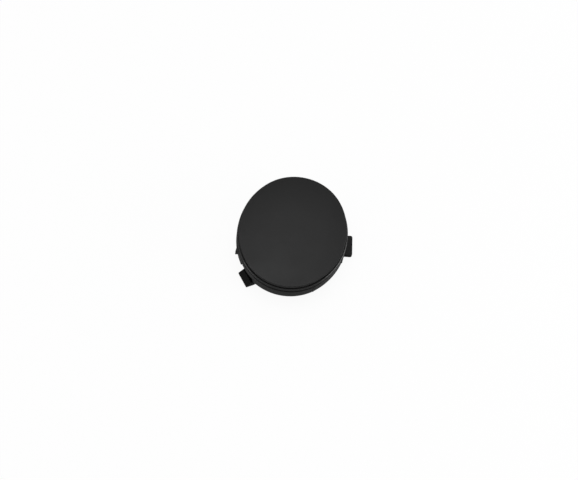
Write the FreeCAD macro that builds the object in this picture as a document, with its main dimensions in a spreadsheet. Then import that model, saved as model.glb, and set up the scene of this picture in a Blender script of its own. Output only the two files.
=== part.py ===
import FreeCAD, Part
import math
import os
import Sketcher

# Snap-in cover for the towing eye opening of a bumper: one injection moulding in black plastic.
# The origin is the middle of the oval, in the plane where the skirt's lower edge seats on the bumper skin.
# +Z points out of the bumper, through the face. +X is the oval's short axis and +Y its long one.
# Angles go round from +X towards +Y.

SIZES = {
    # Face: a crowned oval plate that overhangs the wall below it
    "face_width": 64.4,         # across the short axis
    "face_stretch": 8.7,        # how much longer the oval is than it is wide
    "oval_draw": 2.7,           # how much smaller the oval's ends are in radius than half its width
    "face_plate": 2.4,          # thickness of the plate
    "crown_flat": 3.0,          # flat left in the middle, from the centres of the oval's ends outwards
    "crown_turn": 26.0,         # the part of its elliptical curve that it uses, in degrees
    "crown_squash": 0.3,        # height of that ellipse over its width
    "face_lip": 0.9,            # upright edge of the face, rounding included
    "face_round": 0.65,         # rounded edge round the face
    # Wall under the face, from the face down to the seat
    "groove_height": 2.2,       # recess right under the face's lip
    "groove_depth": 1.4,
    "band_height": 1.6,         # narrow band under the recess
    "line_height": 1.0,         # fine line between band and skirt
    "line_depth": 0.7,
    "skirt_height": 6.1,        # from the fine line down to the seat
    "skirt_proud": 0.15,        # the skirt stands this far outside the face's outline
    "wall": 2.7,                # from the face's outline to the inside of the wall
    "soft_edge": 0.3,           # bevel along the small outer edges of the wall
    # Legs that hold the cover: one stiff tongue and two snap hooks
    "grip": 4.5,                # from the seat down to the faces that catch behind the bumper skin
    "leg_reach": 9.4,           # from the seat down to the tips
    "leg_gap": 0.9,             # free space between the wall and a leg
    "root": 1.0,                # how far wall, legs and ribs run up into the plate
    "tongue_angle": 12.0,
    "tongue_width": 11.3,
    "tongue_leg": 2.4,
    "tongue_lip": 2.6,          # thickness of the lip
    "tongue_proud": 4.1,        # the lip reaches this far outside the face's outline
    "tongue_corner": 1.2,       # rounded outer corners of the lip
    "hook_angle": 221.5,
    "hook_slide": 2.6,          # from where the outline is square to the hook to its middle
    "far_hook_angle": 128.0,
    "hook_width": 10.0,
    "hook_leg": 2.2,
    "hook_proud": 1.9,          # the nose reaches this far outside the face's outline
    "hook_slope_in": 3.0,       # slope from the catching face out to the nose, over which it lets go
    "hook_slope_drop": 2.4,
    "hook_land": 1.2,           # upright part of the nose under that slope
    "hook_tip": 0.9,            # how far the tip stays proud of the leg
    "hook_round": 0.5,          # rounded edges of the nose
    # Relief cut in the skirt's lower edge in front of each leg
    "relief_height": 3.0,
    "relief_margin": 1.2,       # free width on each side of a leg
    # Wedge on the skirt beside the hook
    "stop_angle": 196.0,
    "stop_slide": 7.6,          # from where the outline is square to the wedge to its steep side
    "stop_length": 3.6,
    "stop_proud": 2.0,
    # Stiffening under the plate
    "rib": 1.5,                 # thickness of ribs and gussets
    "rib_height": 3.0,
    "gusset_reach": 7.0,        # from a leg towards the middle
    "gusset_drop": 9.0,         # from the plate down the leg
    "lip_gusset_in": 1.8,       # from the side of the lip to its gusset
    "boss_radius": 4.5,         # ring in the middle where the ribs meet
    "boss_height": 4.0,
    "boss_bore": 2.6,
    # Small upright nubs that take up play in the bumper's recess
    "nub_radius": 0.9,
    "nub_proud": 0.35,
    "nub_height": 4.6,
}

NUB_ANGLES = ("350.5", "312", "132")

doc = FreeCAD.newDocument("cover")
sheet = doc.addObject("Spreadsheet::Sheet", "Sizes")
for row, (name, value) in enumerate(SIZES.items(), start=1):
    sheet.set(f"A{row}", name)
    sheet.set(f"B{row}", str(value))
    sheet.setAlias(f"B{row}", name)
working = doc.addObject("Spreadsheet::Sheet", "Working")
doc.recompute()

body = doc.addObject("PartDesign::Body", "Cover")
body.Label = "tow_hook_cover"


# Expressions name a size as <size>, and the sheet's own name is put in when they are bound.
def spelled(expression):
    return expression.replace("<", "Sizes.").replace(">", "")


# Heights above the seat
BAND_FOOT = "(<skirt_height> + <line_height>)"
BAND_TOP = f"({BAND_FOOT} + <band_height>)"
LIP_FOOT = f"({BAND_TOP} + <groove_height>)"
LIP_TOP = f"({LIP_FOOT} + <face_lip>)"

# The crowned face: flat in the middle, then a piece of an ellipse down to the rounded edge
TURN = "(<crown_turn> * 1 deg)"
LEAN = f"(<crown_squash> * sin({TURN}) / sqrt((<crown_squash> * sin({TURN})) ^ 2 + cos({TURN}) ^ 2))"
CROWN_REACH = "(<face_width> / 2 - <oval_draw> - <crown_flat>)"
CROWN_WIDE = f"(({CROWN_REACH} - <face_round> * (1 - {LEAN})) / sin({TURN}))"
CROWN_HIGH = f"(<crown_squash> * {CROWN_WIDE})"
ROUND_FOOT = f"({LIP_TOP} - <face_round>)"
ROUND_TOP = f"({ROUND_FOOT} + <face_round> * sqrt(1 - {LEAN} ^ 2))"
CROWN_TOP = f"({ROUND_TOP} + {CROWN_HIGH} * (1 - cos({TURN})))"
DISH_TOP = f"({CROWN_TOP} - <face_plate>)"
PLATE_FOOT = f"({LIP_TOP} - <face_plate>)"
ROOT_TOP = f"({PLATE_FOOT} + <root>)"

# The oval is four arcs that run into each other: two ends about points on the long axis,
# and two flatter sides about points on the short axis, beyond the middle
END_RADIUS = "(<face_width> / 2 - <oval_draw>)"
END_SHIFT = "(<face_stretch> / 2 + <oval_draw>)"
SIDE_RADIUS = f"(((<face_width> / 2) ^ 2 + {END_SHIFT} ^ 2 - {END_RADIUS} ^ 2) / (2 * <oval_draw>))"
SIDE_SHIFT = f"({SIDE_RADIUS} - <face_width> / 2)"
JOIN = f"atan({END_SHIFT} / {SIDE_SHIFT})"


def measured(expression):
    """An expression's value now, read from a cell of the working sheet."""
    working.set("A1", "=" + spelled(expression))
    working.recompute()
    return float(working.get("A1"))


def square_to(angle, inset):
    """The point of the outline, drawn in by an inset, where the outline is square to an angle:
    its distance outwards along that angle and its distance aside."""
    turn = math.radians(measured(angle))
    cosine, sine = f"cos({angle} * 1 deg)", f"sin({angle} * 1 deg)"
    if abs(math.sin(turn)) < measured(f"sin({JOIN})"):
        centre = f"({'-' if math.cos(turn) > 0 else ''}{SIDE_SHIFT})"
        return f"({SIDE_RADIUS} - {inset} + {centre} * {cosine})", f"(0 - {centre} * {sine})"
    centre = f"({'-' if math.sin(turn) < 0 else ''}{END_SHIFT})"
    return f"({END_RADIUS} - {inset} + {centre} * {sine})", f"({centre} * {cosine})"


def leg_face(angle):
    """From the middle to the outer face of a leg, along the leg's angle."""
    return f"({square_to(angle, '<wall>')[0]} - <leg_gap>)"


def sketch_on(role, name, height="0", angle="0", aside="0", out="0"):
    """A sketch on one of the body's planes, turned about Z. A level one is raised by a height,
    and an upright one may stand aside from the middle or further out."""
    sketch = body.newObject("Sketcher::SketchObject", name)
    origin_plane = next(feature for feature in body.Origin.OriginFeatures if feature.Role == role)
    sketch.AttachmentSupport = [(origin_plane, "")]
    sketch.MapMode = "FlatFace"
    upright = role == "XZ_Plane"
    turn_axis = FreeCAD.Vector(0, 1, 0) if upright else FreeCAD.Vector(0, 0, 1)
    sketch.AttachmentOffset = FreeCAD.Placement(FreeCAD.Vector(0, 0, 0), FreeCAD.Rotation(turn_axis, 1))
    sketch.setExpression("AttachmentOffset.Rotation.Angle", spelled(f"({angle}) * 1 deg"))
    if upright:
        cosine, sine = f"cos(({angle}) * 1 deg)", f"sin(({angle}) * 1 deg)"
        sketch.setExpression("AttachmentOffset.Base.x", spelled(f"({out}) * {cosine} - ({aside}) * {sine}"))
        sketch.setExpression("AttachmentOffset.Base.z", spelled(f"0 - ({out}) * {sine} - ({aside}) * {cosine}"))
    else:
        sketch.setExpression("AttachmentOffset.Base.z", spelled(height))
    return sketch


def drive(sketch, constraint, expression):
    """Adds a sized constraint and binds it to an expression."""
    index = sketch.addConstraint(constraint)
    sketch.renameConstraint(index, f"size_{index}")
    sketch.setExpression(f"Constraints.size_{index}", spelled(expression))


def outline(sketch, corners, bends=None):
    """A closed outline through corners, each a pair of expressions, counterclockwise. A bend is an arc that
    takes the place of the straight line after its corner: a circle's radius, or an ellipse's centre and
    two radii. It bulges outwards."""
    bends = bends or {}
    points = [FreeCAD.Vector(measured(across), measured(up), 0) for across, up in corners]
    first = sketch.GeometryCount
    for i, start in enumerate(points):
        end = points[(i + 1) % len(points)]
        if i not in bends:
            sketch.addGeometry(Part.LineSegment(start, end), False)
            continue
        if isinstance(bends[i], tuple):
            middle_x, middle_y, wide, high = [measured(value) for value in bends[i]]
        else:
            wide = high = measured(bends[i])
            chord = end - start
            lift = math.sqrt(wide ** 2 - (chord.Length / 2) ** 2)
            middle = start + chord / 2 + FreeCAD.Vector(-chord.y, chord.x, 0).normalize() * lift
            middle_x, middle_y = middle.x, middle.y
        turns = [math.atan2((point.y - middle_y) / high, (point.x - middle_x) / wide) for point in (start, end)]
        if turns[1] < turns[0]:
            turns[1] += 2 * math.pi
        middle = FreeCAD.Vector(middle_x, middle_y, 0)
        if isinstance(bends[i], tuple):
            sketch.addGeometry(Part.ArcOfEllipse(Part.Ellipse(middle, wide, high), *turns), False)
        else:
            sketch.addGeometry(Part.ArcOfCircle(Part.Circle(middle, FreeCAD.Vector(0, 0, 1), wide), *turns), False)
    for i, (across, up) in enumerate(corners):
        sketch.addConstraint(Sketcher.Constraint("Coincident", first + i, 2, first + (i + 1) % len(corners), 1))
        drive(sketch, Sketcher.Constraint("DistanceX", -1, 1, first + i, 1, points[i].x), across)
        drive(sketch, Sketcher.Constraint("DistanceY", -1, 1, first + i, 1, points[i].y), up)
    for i, bend in bends.items():
        if isinstance(bend, tuple):
            drive(sketch, Sketcher.Constraint("DistanceX", -1, 1, first + i, 3, measured(bend[0])), bend[0])
            drive(sketch, Sketcher.Constraint("DistanceY", -1, 1, first + i, 3, measured(bend[1])), bend[1])
            long_axis = sketch.GeometryCount
            sketch.exposeInternalGeometry(first + i)
            sketch.addConstraint(Sketcher.Constraint("Horizontal", long_axis))
        else:
            drive(sketch, Sketcher.Constraint("Radius", first + i, measured(bend)), bend)


def oval(sketch, inset):
    """The face's outline, drawn in by an inset."""
    end, side = f"({END_RADIUS} - ({inset}))", f"({SIDE_RADIUS} - ({inset}))"
    across = f"{end} * cos({JOIN})"
    along = f"({END_SHIFT} + {end} * sin({JOIN}))"
    corners = ((across, f"-{along}"), (across, along), (f"-({across})", along), (f"-({across})", f"-{along}"))
    outline(sketch, corners, {0: side, 1: end, 2: side, 3: end})


def circle(sketch, across, up, radius):
    ring = sketch.addGeometry(Part.Circle(FreeCAD.Vector(1, 1, 0), FreeCAD.Vector(0, 0, 1), 1), False)
    drive(sketch, Sketcher.Constraint("DistanceX", -1, 1, ring, 3, 1), across)
    drive(sketch, Sketcher.Constraint("DistanceY", -1, 1, ring, 3, 1), up)
    drive(sketch, Sketcher.Constraint("Radius", ring, 1), radius)


def built(feature):
    """Recomputes, and stops where the feature has failed."""
    doc.recompute()
    if "Invalid" in feature.State or feature.Shape.isNull() or not feature.Shape.isValid():
        raise RuntimeError(f"{feature.Name} failed: {feature.State}")


def pad(sketch, length, both_sides=False):
    feature = body.newObject("PartDesign::Pad", sketch.Name + "_pad")
    feature.Profile = sketch
    feature.Midplane = both_sides
    feature.setExpression("Length", spelled(length))
    built(feature)


def cut(kind, sketch, settle):
    """A pocket or groove. One that takes nothing away points the wrong way."""
    before = body.Shape.Volume
    feature = body.newObject(kind, sketch.Name + "_cut")
    feature.Profile = sketch
    settle(feature)
    built(feature)
    if body.Shape.Volume > before - 0.01:
        raise RuntimeError(f"{sketch.Name} takes nothing away")


def pocket_up(sketch, depth):
    def settle(feature):
        feature.Reversed = True
        feature.setExpression("Length", spelled(depth))
    cut("PartDesign::Pocket", sketch, settle)


def soften_edges(kind, name, size, chosen):
    """Rounds or bevels the edges of the body that a test picks."""
    base = body.Tip
    picked = [f"Edge{i}" for i, edge in enumerate(base.Shape.Edges, start=1) if chosen(edge)]
    if not picked:
        raise RuntimeError(f"{name} finds no edge")
    feature = body.newObject(f"PartDesign::{kind}", name)
    feature.Base = (base, picked)
    feature.setExpression("Radius" if kind == "Fillet" else "Size", spelled(size))
    built(feature)


def seen_from(point, angle):
    """A point's distance outwards along an angle, and its distance aside."""
    turn = math.radians(angle)
    outwards = point.x * math.cos(turn) + point.y * math.sin(turn)
    aside = point.y * math.cos(turn) - point.x * math.sin(turn)
    return outwards, aside


# Face plate, with its lip, its rounded edge and the back of the recess. Each of the oval's four arcs
# carries one turned part of it.
PLATE_PARTS = (
    ("right", "0", SIDE_RADIUS, f"-{SIDE_SHIFT}", f"2 * {JOIN}"),
    ("upper_end", "90", END_RADIUS, END_SHIFT, f"180 deg - 2 * {JOIN}"),
    ("left", "180", SIDE_RADIUS, f"-{SIDE_SHIFT}", f"2 * {JOIN}"),
    ("lower_end", "270", END_RADIUS, END_SHIFT, f"180 deg - 2 * {JOIN}"),
)
for name, angle, radius, centre, sweep in PLATE_PARTS:
    section = sketch_on("XZ_Plane", f"plate_{name}", angle=angle, out=centre)
    flat = f"({radius} - {CROWN_REACH})"
    outline(section, (
        ("0", DISH_TOP),
        (flat, DISH_TOP),
        (f"{radius} - <groove_depth>", PLATE_FOOT),
        (f"{radius} - <groove_depth>", LIP_FOOT),
        (radius, LIP_FOOT),
        (radius, ROUND_FOOT),
        (f"{radius} - <face_round> * (1 - {LEAN})", ROUND_TOP),
        (flat, CROWN_TOP),
        ("0", CROWN_TOP),
    ), {5: "<face_round>", 6: (flat, f"({CROWN_TOP} - {CROWN_HIGH})", CROWN_WIDE, CROWN_HIGH)})
    turned = body.newObject("PartDesign::Revolution", section.Name + "_turned")
    turned.Profile = section
    turned.ReferenceAxis = (section, ["V_Axis"])
    turned.Midplane = True
    turned.setExpression("Angle", spelled(sweep))
    built(turned)

# Wall: four rings between the face's outline and one common inside
WALL_RINGS = (
    ("recess", BAND_TOP, f"{PLATE_FOOT} - {BAND_TOP} + <root>", "<groove_depth>"),
    ("band", BAND_FOOT, "<band_height>", "0"),
    ("line", "<skirt_height>", "<line_height>", "<line_depth>"),
    ("skirt", "0", "<skirt_height>", "-<skirt_proud>"),
)
for name, foot, height, inset in WALL_RINGS:
    ring = sketch_on("XY_Plane", name, foot)
    oval(ring, inset)
    oval(ring, "<wall>")
    pad(ring, height)

# Every small outer edge of the wall
half_width = measured("<face_width> / 2")
half_length = measured("(<face_width> + <face_stretch>) / 2")
wall_top = measured(BAND_TOP)
slack = SIZES["soft_edge"] / 2


def on_wall_outside(edge):
    box = edge.BoundBox
    return (edge.Length > half_length and box.ZMax - box.ZMin < slack and box.ZMax < wall_top + slack
            and (max(box.XMax, -box.XMin) > half_width - slack or max(box.YMax, -box.YMin) > half_length - slack))


soften_edges("Chamfer", "wall_edges", "<soft_edge>", on_wall_outside)

# Nubs on the skirt
nubs = sketch_on("XY_Plane", "nubs", "(<skirt_height> - <nub_height>) / 2")
for angle in NUB_ANGLES:
    out, aside = square_to(angle, "(<nub_radius> - <nub_proud> - <skirt_proud>)")
    cosine, sine = f"cos({angle} * 1 deg)", f"sin({angle} * 1 deg)"
    circle(nubs, f"{out} * {cosine} - {aside} * {sine}", f"{out} * {sine} + {aside} * {cosine}", "<nub_radius>")
pad(nubs, "<nub_height>")

# Reliefs in the skirt's lower edge
LEGS = (
    ("tongue", "<tongue_angle>", "0", "<tongue_width>", "<tongue_leg>"),
    ("hook", "<hook_angle>", "<hook_slide>", "<hook_width>", "<hook_leg>"),
    ("far_hook", "<far_hook_angle>", "0", "<hook_width>", "<hook_leg>"),
)
for name, angle, slide, width, leg in LEGS:
    relief = sketch_on("XY_Plane", name + "_relief", angle=angle)
    far, aside = square_to(angle, "(0 - 2 * <wall>)")
    near = f"({leg_face(angle)} - 2 * {leg})"
    lower = f"{aside} + {slide} - {width} / 2 - <relief_margin>"
    upper = f"{aside} + {slide} + {width} / 2 + <relief_margin>"
    outline(relief, ((near, lower), (far, lower), (far, upper), (near, upper)))
    pocket_up(relief, "<relief_height>")

# Wedge on the skirt, steep on the hook's side
stop = sketch_on("XY_Plane", "stop", "(<skirt_height> - <nub_height>) / 2", "<stop_angle>")
edge_out, aside = square_to("<stop_angle>", "(0 - <skirt_proud>)")
stop_edge = f"({aside} + <stop_slide>)"


def on_skirt(aside_now):
    """Distance outwards to the skirt along the wedge's angle, at a distance aside."""
    skirt_radius = f"({SIDE_RADIUS} + <skirt_proud>)"
    return f"({edge_out} - {skirt_radius} + sqrt({skirt_radius} ^ 2 - ({aside_now} - {aside}) ^ 2))"


outline(stop, (
    (f"{on_skirt(stop_edge)} - <stop_proud>", stop_edge),
    (f"{on_skirt(stop_edge)} - <stop_proud>", f"{stop_edge} - <stop_length> / 2"),
    (f"{on_skirt(f'({stop_edge} - <stop_length>)')} - <soft_edge> / 2", f"{stop_edge} - <stop_length>"),
    (f"{on_skirt(stop_edge)} + <stop_proud>", stop_edge),
))
pad(stop, "<nub_height>")

# Snap hooks: an upright leg, a catching face that looks back at the seat and slopes off outwards,
# a land and a ramp to the tip
for name, angle, slide, width, leg in LEGS[1:]:
    face = leg_face(angle)
    nose, aside = square_to(angle, "(0 - <hook_proud>)")
    hook = sketch_on("XZ_Plane", name, angle=angle, aside=f"{aside} + {slide}")
    outline(hook, (
        (f"{face} - {leg}", "-<leg_reach>"),
        (f"{face} + <hook_tip>", "-<leg_reach>"),
        (nose, "-<grip> - <hook_slope_drop> - <hook_land>"),
        (nose, "-<grip> - <hook_slope_drop>"),
        (f"{nose} - <hook_slope_in>", "-<grip>"),
        (face, "-<grip>"),
        (face, ROOT_TOP),
        (f"{face} - {leg}", ROOT_TOP),
    ))
    pad(hook, width, both_sides=True)

# Tongue: a broad leg with a flat lip
tongue_face = leg_face("<tongue_angle>")
lip_end, tongue_aside = square_to("<tongue_angle>", "(0 - <tongue_proud>)")
tongue = sketch_on("XZ_Plane", "tongue", angle="<tongue_angle>", aside=tongue_aside)
outline(tongue, (
    (f"{tongue_face} - <tongue_leg>", "-<leg_reach>"),
    (tongue_face, "-<leg_reach>"),
    (tongue_face, "-<grip> - <tongue_lip>"),
    (lip_end, "-<grip> - <tongue_lip>"),
    (lip_end, "-<grip>"),
    (tongue_face, "-<grip>"),
    (tongue_face, ROOT_TOP),
    (f"{tongue_face} - <tongue_leg>", ROOT_TOP),
))
pad(tongue, "<tongue_width>", both_sides=True)

# Two gussets carry the lip from below
for side in ("-", "+"):
    gusset = sketch_on("XZ_Plane", "lip_gusset", angle="<tongue_angle>",
                       aside=f"{tongue_aside} {side} (<tongue_width> / 2 - <lip_gusset_in>)")
    inside = f"{tongue_face} - <tongue_leg> / 2"
    outline(gusset, (
        (inside, "-<leg_reach> + <rib>"),
        (tongue_face, "-<leg_reach> + <rib>"),
        (f"{lip_end} - <tongue_corner>", "-<grip> - <tongue_lip>"),
        (f"{lip_end} - <tongue_corner>", "-<grip> - <tongue_lip> / 2"),
        (inside, "-<grip> - <tongue_lip> / 2"),
    ))
    pad(gusset, "<rib>", both_sides=True)

# Ring in the middle of the plate's underside
boss = sketch_on("XY_Plane", "boss", f"{PLATE_FOOT} - <boss_height>")
circle(boss, "0", "0", "<boss_radius>")
pad(boss, f"<boss_height> + {DISH_TOP} - {PLATE_FOOT} + <root>")
bore = sketch_on("XY_Plane", "boss_bore", f"{PLATE_FOOT} - <boss_height>")
circle(bore, "0", "0", "<boss_bore>")
pocket_up(bore, f"<boss_height> + {DISH_TOP} - {PLATE_FOOT} - <root> / 2")

# Ribs under the plate run from that ring to each leg, and drop into a gusset at the leg
BOSS_WALL = "((<boss_bore> + <boss_radius>) / 2)"
for name, angle, slide, width, leg in LEGS:
    behind = f"({leg_face(angle)} - {leg})"
    aside = f"({square_to(angle, '0')[1]} + {slide})"
    back = f"sqrt({behind} ^ 2 + {aside} ^ 2)"
    rib = sketch_on("XZ_Plane", name + "_rib", angle=f"{angle} + atan({aside} / {behind}) / 1 deg")
    outline(rib, (
        (BOSS_WALL, f"{PLATE_FOOT} - <rib_height>"),
        (f"{back} - <gusset_reach>", f"{PLATE_FOOT} - <rib_height>"),
        (back, f"{PLATE_FOOT} - <gusset_drop>"),
        (f"{back} + {leg} / 2", f"{PLATE_FOOT} - <gusset_drop>"),
        (f"{back} + {leg} / 2", ROOT_TOP),
        (BOSS_WALL, f"{DISH_TOP} + <root>"),
    ))
    pad(rib, "<rib>", both_sides=True)

# Rounded nose edges, and the lip's rounded corners
for name, angle, slide, width, leg in LEGS[1:]:
    turn = measured(angle)
    face = measured(leg_face(angle))
    hook_middle = measured(f"{square_to(angle, '0')[1]} + {slide}")

    def on_nose(edge):
        ends = [seen_from(vertex.Point, turn) for vertex in edge.Vertexes]
        level = [vertex.Point.z for vertex in edge.Vertexes]
        return (len(ends) == 2 and min(out for out, _ in ends) > face + SIZES["hook_tip"] / 2
                and abs(ends[0][1] - ends[1][1]) > SIZES["hook_width"] / 2
                and max(abs(aside - hook_middle) for _, aside in ends) < SIZES["hook_width"]
                and max(level) < -SIZES["grip"] / 2)

    soften_edges("Fillet", name + "_nose", "<hook_round>", on_nose)

tongue_turn = SIZES["tongue_angle"]
lip_start = measured(tongue_face)


def on_lip_corner(edge):
    ends = [seen_from(vertex.Point, tongue_turn) for vertex in edge.Vertexes]
    level = [vertex.Point.z for vertex in edge.Vertexes]
    return (len(ends) == 2 and min(out for out, _ in ends) > lip_start + SIZES["tongue_proud"]
            and abs(level[0] - level[1]) > SIZES["tongue_lip"] / 2
            and abs(ends[0][0] - ends[1][0]) < SIZES["tongue_corner"] / 2)


soften_edges("Fillet", "lip_corners", "<tongue_corner>", on_lip_corner)

doc.recompute()
for item in doc.Objects:
    if "Invalid" in item.State or "Error" in item.State:
        raise RuntimeError(f"{item.Name} failed: {item.State}")
if body.Shape.isNull() or not body.Shape.isValid() or len(body.Shape.Solids) != 1:
    raise RuntimeError("the cover is not one valid solid")
os.makedirs("parts", exist_ok=True)
body.Shape.exportStep(f"parts/{body.Label}.step")
print(body.Label, "volume", round(body.Shape.Volume, 1), "box", body.Shape.BoundBox)
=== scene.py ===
import bmesh
import bpy
import math
from mathutils import Matrix, Vector


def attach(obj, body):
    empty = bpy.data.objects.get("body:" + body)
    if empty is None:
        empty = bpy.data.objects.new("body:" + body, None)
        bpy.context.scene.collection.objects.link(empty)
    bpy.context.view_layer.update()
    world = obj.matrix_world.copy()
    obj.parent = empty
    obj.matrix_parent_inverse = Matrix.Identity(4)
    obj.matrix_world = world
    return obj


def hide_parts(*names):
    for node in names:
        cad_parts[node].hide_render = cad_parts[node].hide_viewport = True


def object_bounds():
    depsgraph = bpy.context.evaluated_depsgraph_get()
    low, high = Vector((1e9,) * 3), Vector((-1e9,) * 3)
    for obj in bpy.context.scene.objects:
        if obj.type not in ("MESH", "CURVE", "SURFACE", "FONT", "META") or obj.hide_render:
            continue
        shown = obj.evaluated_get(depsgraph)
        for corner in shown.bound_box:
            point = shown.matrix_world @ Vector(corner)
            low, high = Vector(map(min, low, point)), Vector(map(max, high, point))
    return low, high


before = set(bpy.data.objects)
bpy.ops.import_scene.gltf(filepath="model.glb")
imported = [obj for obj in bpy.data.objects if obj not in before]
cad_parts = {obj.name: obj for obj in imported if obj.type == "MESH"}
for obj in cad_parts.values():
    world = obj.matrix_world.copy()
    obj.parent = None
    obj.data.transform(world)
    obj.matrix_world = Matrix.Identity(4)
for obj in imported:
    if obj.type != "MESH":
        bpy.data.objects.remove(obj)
cad_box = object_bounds()
scene = bpy.context.scene
scene.view_settings.view_transform = "Standard"

# Cover: one injection moulding in black plastic. It closes the opening for the towing eye in a bumper, and
# a tongue and two snap hooks behind it hold it there. It takes its form from the solid, and the steps below
# fit its rim, its wedge and its legs to the real ones.
cover = bpy.data.objects.new("cover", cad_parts["tow_hook_cover"].data.copy())
scene.collection.objects.link(cover)
form = bmesh.new()
form.from_mesh(cover.data)
same_place, same_plane = 0.000001, math.radians(0.5)
bmesh.ops.remove_doubles(form, verts=form.verts, dist=same_place)
bmesh.ops.dissolve_limit(form, angle_limit=same_plane, verts=form.verts, edges=form.edges)


def bearing(degrees):
    """The direction in the plane of the face that lies this far round from +X towards +Y"""
    return Vector((math.cos(math.radians(degrees)), math.sin(math.radians(degrees)), 0))


half_wide, half_long = 0.0322, 0.03655


def part_of_oval(point):
    """0 in the middle of the face, 1 on its outline, growing with the square of the distance"""
    return (point.x / half_wide) ** 2 + (point.y / half_long) ** 2


# The face is drawn in from the band below it, most beside the tongue, and its upright edge is half as high
drawn_in, more_by_tongue, to_tongue, narrowness = 0.00055, 0.00058, bearing(9), 12
edge_top, edge_foot, edge_slack, face_shift = 0.0118, 0.0109, 0.00005, 0.00012
rim_start, steepest_face = 0.97, 0.3
for vert in form.verts:
    beside = part_of_oval(vert.co) > rim_start
    faces_up = max(face.normal.z for face in vert.link_faces) > steepest_face
    if vert.co.z > edge_foot - edge_slack and (beside or faces_up):
        outwards = Vector((vert.co.x, vert.co.y, 0))
        near_tongue = max(0, outwards.normalized().dot(to_tongue)) ** narrowness
        part_in = (drawn_in + more_by_tongue * near_tongue) / half_wide
        vert.co -= outwards * part_in
        vert.co.y += face_shift
        vert.co.z = max(vert.co.z, edge_top - (edge_top - vert.co.z) / 2)

# The inner half of the recess floor slopes down, so that it lies in shade behind the band's upper edge
band_top, floor_slack, floor_drop = 0.0087, 0.00003, 0.0005
nearly_level, inner_ring_end = 0.9, 0.95
on_floor = [face for face in form.faces if face.normal.z > nearly_level
            and all(abs(vert.co.z - band_top) < floor_slack for vert in face.verts)]
on_floor = bmesh.ops.triangulate(form, faces=on_floor, quad_method="BEAUTY", ngon_method="BEAUTY")["faces"]
inner_ring = {vert for face in on_floor for vert in face.verts if part_of_oval(vert.co) < inner_ring_end}
across_floor = [edge for face in on_floor for edge in face.edges
                if len(inner_ring.intersection(edge.verts)) == 1]
for vert in inner_ring:
    vert.co.z -= floor_drop
halved = bmesh.ops.subdivide_edges(form, edges=list(dict.fromkeys(across_floor)), cuts=1)
for item in halved["geom_inner"]:
    if isinstance(item, bmesh.types.BMVert):
        item.co.z = band_top

# The wedge beside the hook stands a little less proud
wedge_out, wedge_start, wedge_back = bearing(196), 0.0334, 0.00045
wedge_foot, wedge_top = 0.0005, 0.0056
for vert in form.verts:
    if wedge_foot < vert.co.z < wedge_top and vert.co.dot(wedge_out) > wedge_start:
        vert.co -= wedge_out * wedge_back

# The tongue's lip is broader than its leg: its lower end in front of the leg runs on past the leg's side
lip_out, lip_along, lip_longer = bearing(12), bearing(12 - 90), 0.0017
lip_under, lip_over, leg_front, cut_in_front = -0.0072, -0.0044, 0.0287, 0.0292
start_in_front, side_of_lip, start_of_corner, side_of_corner = 0.0291, 0.0031, 0.0353, 0.0027
lip = [face for face in form.faces
       if all(lip_under < vert.co.z < lip_over and vert.co.dot(lip_out) > leg_front for vert in face.verts)]
lip_edges = list(dict.fromkeys(edge for face in lip for edge in face.edges))
lip_verts = list(dict.fromkeys(vert for face in lip for vert in face.verts))
bmesh.ops.bisect_plane(form, geom=lip + lip_edges + lip_verts, plane_co=lip_out * cut_in_front, plane_no=lip_out)
for vert in form.verts:
    out, along = vert.co.dot(lip_out), vert.co.dot(lip_along)
    in_front = out > start_in_front and along > side_of_lip
    on_corner = out > start_of_corner and along > side_of_corner
    if lip_under < vert.co.z < lip_over and (in_front or on_corner):
        vert.co += lip_along * lip_longer

# Every edge of the legs has a small radius, as it comes out of the mould
legs_start, sharp_enough, leg_radius = -0.0003, math.radians(35), 0.00018
form.normal_update()
leg_edges = [edge for edge in form.edges if max(vert.co.z for vert in edge.verts) < legs_start
             and len(edge.link_faces) == 2 and edge.calc_face_angle() > sharp_enough]
bmesh.ops.bevel(form, geom=leg_edges, offset=leg_radius, segments=2, profile=0.5, affect="EDGES",
                clamp_overlap=True, material=-1)
form.to_mesh(cover.data)
form.free()
cover.data.polygons.foreach_set("use_smooth", [True] * len(cover.data.polygons))
cover.data.set_sharp_from_angle(angle=math.radians(25))
even = cover.modifiers.new("even_shading", "WEIGHTED_NORMAL")
even.keep_sharp = True
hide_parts("tow_hook_cover")
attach(cover, "root")

# Its plastic is black right through. The mould is spark-eroded, which leaves a fine even grain and a satin
# surface, and the way the plastic flowed leaves faint clouds in both colour and gloss.
plastic = bpy.data.materials.new("black_grained_plastic")
plastic.use_nodes = True
nodes, links = plastic.node_tree.nodes, plastic.node_tree.links
shader = nodes["Principled BSDF"]
shader.inputs["IOR"].default_value = 1.49
place = nodes.new("ShaderNodeTexCoord").outputs["Object"]
split = nodes.new("ShaderNodeSeparateXYZ")
links.new(place, split.inputs["Vector"])
height = split.outputs["Z"]


def stepped(value, start, end, low=0.0, high=1.0):
    """Goes evenly from low to high while the value goes from start to end"""
    step = nodes.new("ShaderNodeMapRange")
    for socket, number in (("From Min", start), ("From Max", end), ("To Min", low), ("To Max", high)):
        step.inputs[socket].default_value = number
    links.new(value, step.inputs["Value"])
    return step.outputs["Result"]


def joined(operation, first, second):
    """One share out of two: their product, or the larger one"""
    both_shares = nodes.new("ShaderNodeMath")
    both_shares.operation = operation
    links.new(first, both_shares.inputs[0])
    links.new(second, both_shares.inputs[1])
    return both_shares.outputs["Value"]


def blended(share_of_second, first, second, kind="FLOAT"):
    """Goes from the first number or colour to the second, each given as it is or by a node"""
    blend = nodes.new("ShaderNodeMix")
    blend.data_type = kind
    links.new(share_of_second, blend.inputs["Factor"])
    for socket, content in (("A", first), ("B", second)):
        if isinstance(content, bpy.types.NodeSocket):
            links.new(content, blend.inputs[socket])
        else:
            blend.inputs[socket].default_value = content
    return blend.outputs["Result"]


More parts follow.
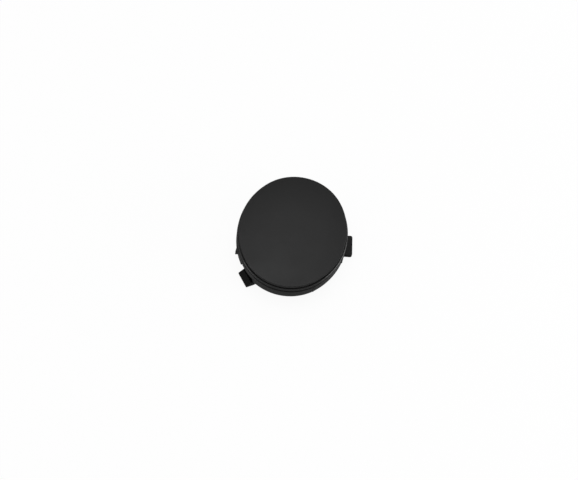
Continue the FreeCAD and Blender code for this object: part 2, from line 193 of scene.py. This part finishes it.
cloud = nodes.new("ShaderNodeTexNoise")
cloud.inputs["Scale"].default_value = 70
cloud.inputs["Detail"].default_value = 4
links.new(place, cloud.inputs["Vector"])
tint = nodes.new("ShaderNodeValToRGB")
tint.color_ramp.elements[0].position = 0.35
tint.color_ramp.elements[0].color = (0.0126, 0.0126, 0.0128, 1)
tint.color_ramp.elements[1].position = 0.65
tint.color_ramp.elements[1].color = (0.0148, 0.0148, 0.0150, 1)
links.new(cloud.outputs["Fac"], tint.inputs["Fac"])
satin = stepped(cloud.outputs["Fac"], 0.3, 0.7, 0.42, 0.50)

# From the seat downwards the legs are drawn darker than the rest, and smooth.
grained = stepped(height, -0.0006, 0.0002)
leg_black = (0.0055, 0.0055, 0.0057, 1)
colour = blended(grained, leg_black, tint.outputs["Color"], "RGBA")

# Painted light: the recess under the face is drawn pale grey up to the band's edge, to lift the shade that the
# face's overhang casts there.
painted_light_share = joined("MULTIPLY", stepped(height, 0.0084, 0.0088), stepped(height, 0.0108, 0.0112, 1.0, 0.0))
painted_recess_light = (0.08, 0.08, 0.08, 1)
links.new(blended(painted_light_share, colour, painted_recess_light, "RGBA"), shader.inputs["Base Color"])

# The upper edge of the narrow band is where the mould's halves meet: it is rubbed smooth, so it shines.
rubbed = joined("MULTIPLY", stepped(height, 0.0082, 0.0085), stepped(height, 0.00860, 0.00869, 1.0, 0.0))

# So is the rounded edge of the face, where hands and cloths pass over it.
flat_place = nodes.new("ShaderNodeVectorMath")
flat_place.operation = "MULTIPLY"
flat_place.inputs[1].default_value = (1 / half_wide, 1 / half_long, 0)
links.new(place, flat_place.inputs[0])
reach = nodes.new("ShaderNodeVectorMath")
reach.operation = "LENGTH"
links.new(flat_place.outputs["Vector"], reach.inputs[0])
near_edge = stepped(reach.outputs["Value"], 0.962, 0.975)
on_face = stepped(height, 0.0110, 0.0113, 0.0, 0.4)
worn = joined("MAXIMUM", rubbed, joined("MULTIPLY", near_edge, on_face))

polished_roughness, worn_roughness = 0.3, 0.22
roughness = blended(worn, blended(grained, polished_roughness, satin), worn_roughness)
links.new(roughness, shader.inputs["Roughness"])
links.new(stepped(grained, 0.0, 1.0, 0.2, 0.5), shader.inputs["Specular IOR Level"])

# The grain is full on wall and face, down to a fifth as deep where they are worn, and absent on the legs.
pits = nodes.new("ShaderNodeTexVoronoi")
pits.inputs["Scale"].default_value = 4200
links.new(place, pits.inputs["Vector"])
grain_left = joined("MULTIPLY", grained, stepped(worn, 0.0, 1.0, 1.0, 0.2))
relief = nodes.new("ShaderNodeBump")
relief.inputs["Strength"].default_value = 0.5
relief.inputs["Distance"].default_value = 0.00004
links.new(joined("MULTIPLY", pits.outputs["Distance"], grain_left), relief.inputs["Height"])
links.new(relief.outputs["Normal"], shader.inputs["Normal"])
cover.data.materials.clear()
cover.data.materials.append(plastic)

# Floor: a plain white sheet at the level of the leg tips, lit from behind so that it stays white
# and keeps only a faint shadow. Only the camera sees that glow.
leg_tips = cad_box[0][2]
bpy.ops.mesh.primitive_plane_add(size=6, location=(0, 0, leg_tips))
floor = bpy.context.object
floor.name = "floor"
paper = bpy.data.materials.new("white_sheet")
paper.use_nodes = True
paper_nodes, paper_links = paper.node_tree.nodes, paper.node_tree.links
matt = paper_nodes["Principled BSDF"]
matt.inputs["Base Color"].default_value = (0.62, 0.62, 0.62, 1)
matt.inputs["Roughness"].default_value = 0.9
matt.inputs["Specular IOR Level"].default_value = 0.1
glow = paper_nodes.new("ShaderNodeEmission")
glow.inputs["Strength"].default_value = 1.185
paper_ray = paper_nodes.new("ShaderNodeLightPath")
share = paper_nodes.new("ShaderNodeMath")
share.operation = "MULTIPLY"
share.inputs[1].default_value = 0.78
both = paper_nodes.new("ShaderNodeMixShader")
paper_links.new(paper_ray.outputs["Is Camera Ray"], share.inputs[0])
paper_links.new(share.outputs["Value"], both.inputs["Fac"])
paper_links.new(matt.outputs["BSDF"], both.inputs[1])
paper_links.new(glow.outputs["Emission"], both.inputs[2])
paper_links.new(both.outputs["Shader"], paper_nodes["Material Output"].inputs["Surface"])
floor.data.materials.append(paper)

# Surroundings: an even pale room that the camera sees as white.
room_light, more_for_camera = 0.26, 0.74
room = bpy.data.worlds.new("room")
scene.world = room
room.use_nodes = True
room_nodes, room_links = room.node_tree.nodes, room.node_tree.links
room_nodes["Background"].inputs["Color"].default_value = (1, 1, 1, 1)
room_ray = room_nodes.new("ShaderNodeLightPath")
strength = room_nodes.new("ShaderNodeMath")
strength.operation = "MULTIPLY_ADD"
strength.inputs[1].default_value = more_for_camera
strength.inputs[2].default_value = room_light
room_links.new(room_ray.outputs["Is Camera Ray"], strength.inputs[0])
room_links.new(strength.outputs["Value"], room_nodes["Background"].inputs["Strength"])

# Camera: it looks down on the face, 26 degrees off its normal, and sees it turned by 16 degrees.
tilt = math.radians(26)
toward = bearing(274.75) * math.sin(tilt) + Vector((0, 0, math.cos(tilt)))
across = bearing(16)
across = (across - toward * across.dot(toward)).normalized()
upward = toward.cross(across)
camera_data = bpy.data.cameras.new("camera")
camera_data.sensor_width = 36
camera_data.lens = 96.48
camera_data.clip_start = 0.05
camera = bpy.data.objects.new("camera", camera_data)
scene.collection.objects.link(camera)
distance, aside, below = 0.9, 0.0024, 0.00525
eye = Vector((0, 0, edge_top)) + toward * distance - across * aside - upward * below
camera.matrix_world = Matrix((
    (across.x, upward.x, toward.x, eye.x),
    (across.y, upward.y, toward.y, eye.y),
    (across.z, upward.z, toward.z, eye.z),
    (0, 0, 0, 1)))
scene.camera = camera


# Lights: a wide soft box over the cover, and low white cards that draw the rim: one at the left, two at the
# right. All of them point at the middle of the cover.
def soft_box(name, place_at, wide, high, power):
    lamp = bpy.data.lights.new(name, "AREA")
    lamp.shape = "RECTANGLE"
    lamp.size, lamp.size_y, lamp.energy = wide, high, power
    lit = bpy.data.objects.new(name, lamp)
    scene.collection.objects.link(lit)
    lit.location = place_at
    lit.rotation_euler = (-place_at).to_track_quat("-Z", "Y").to_euler()


soft_box("over", upward * 0.6 + toward * 0.88, 0.9, 0.6, 2.3)
soft_box("right", across * 0.7 - upward * 0.12 + toward * 0.2, 0.35, 0.2, 0.72)
soft_box("right_foot", across * 0.68 + upward * 0.12 - toward * 0.02, 0.42, 0.18, 0.66)
soft_box("left", -across * 0.7 - upward * 0.2 + toward * 0.2, 0.35, 0.2, 1.2)
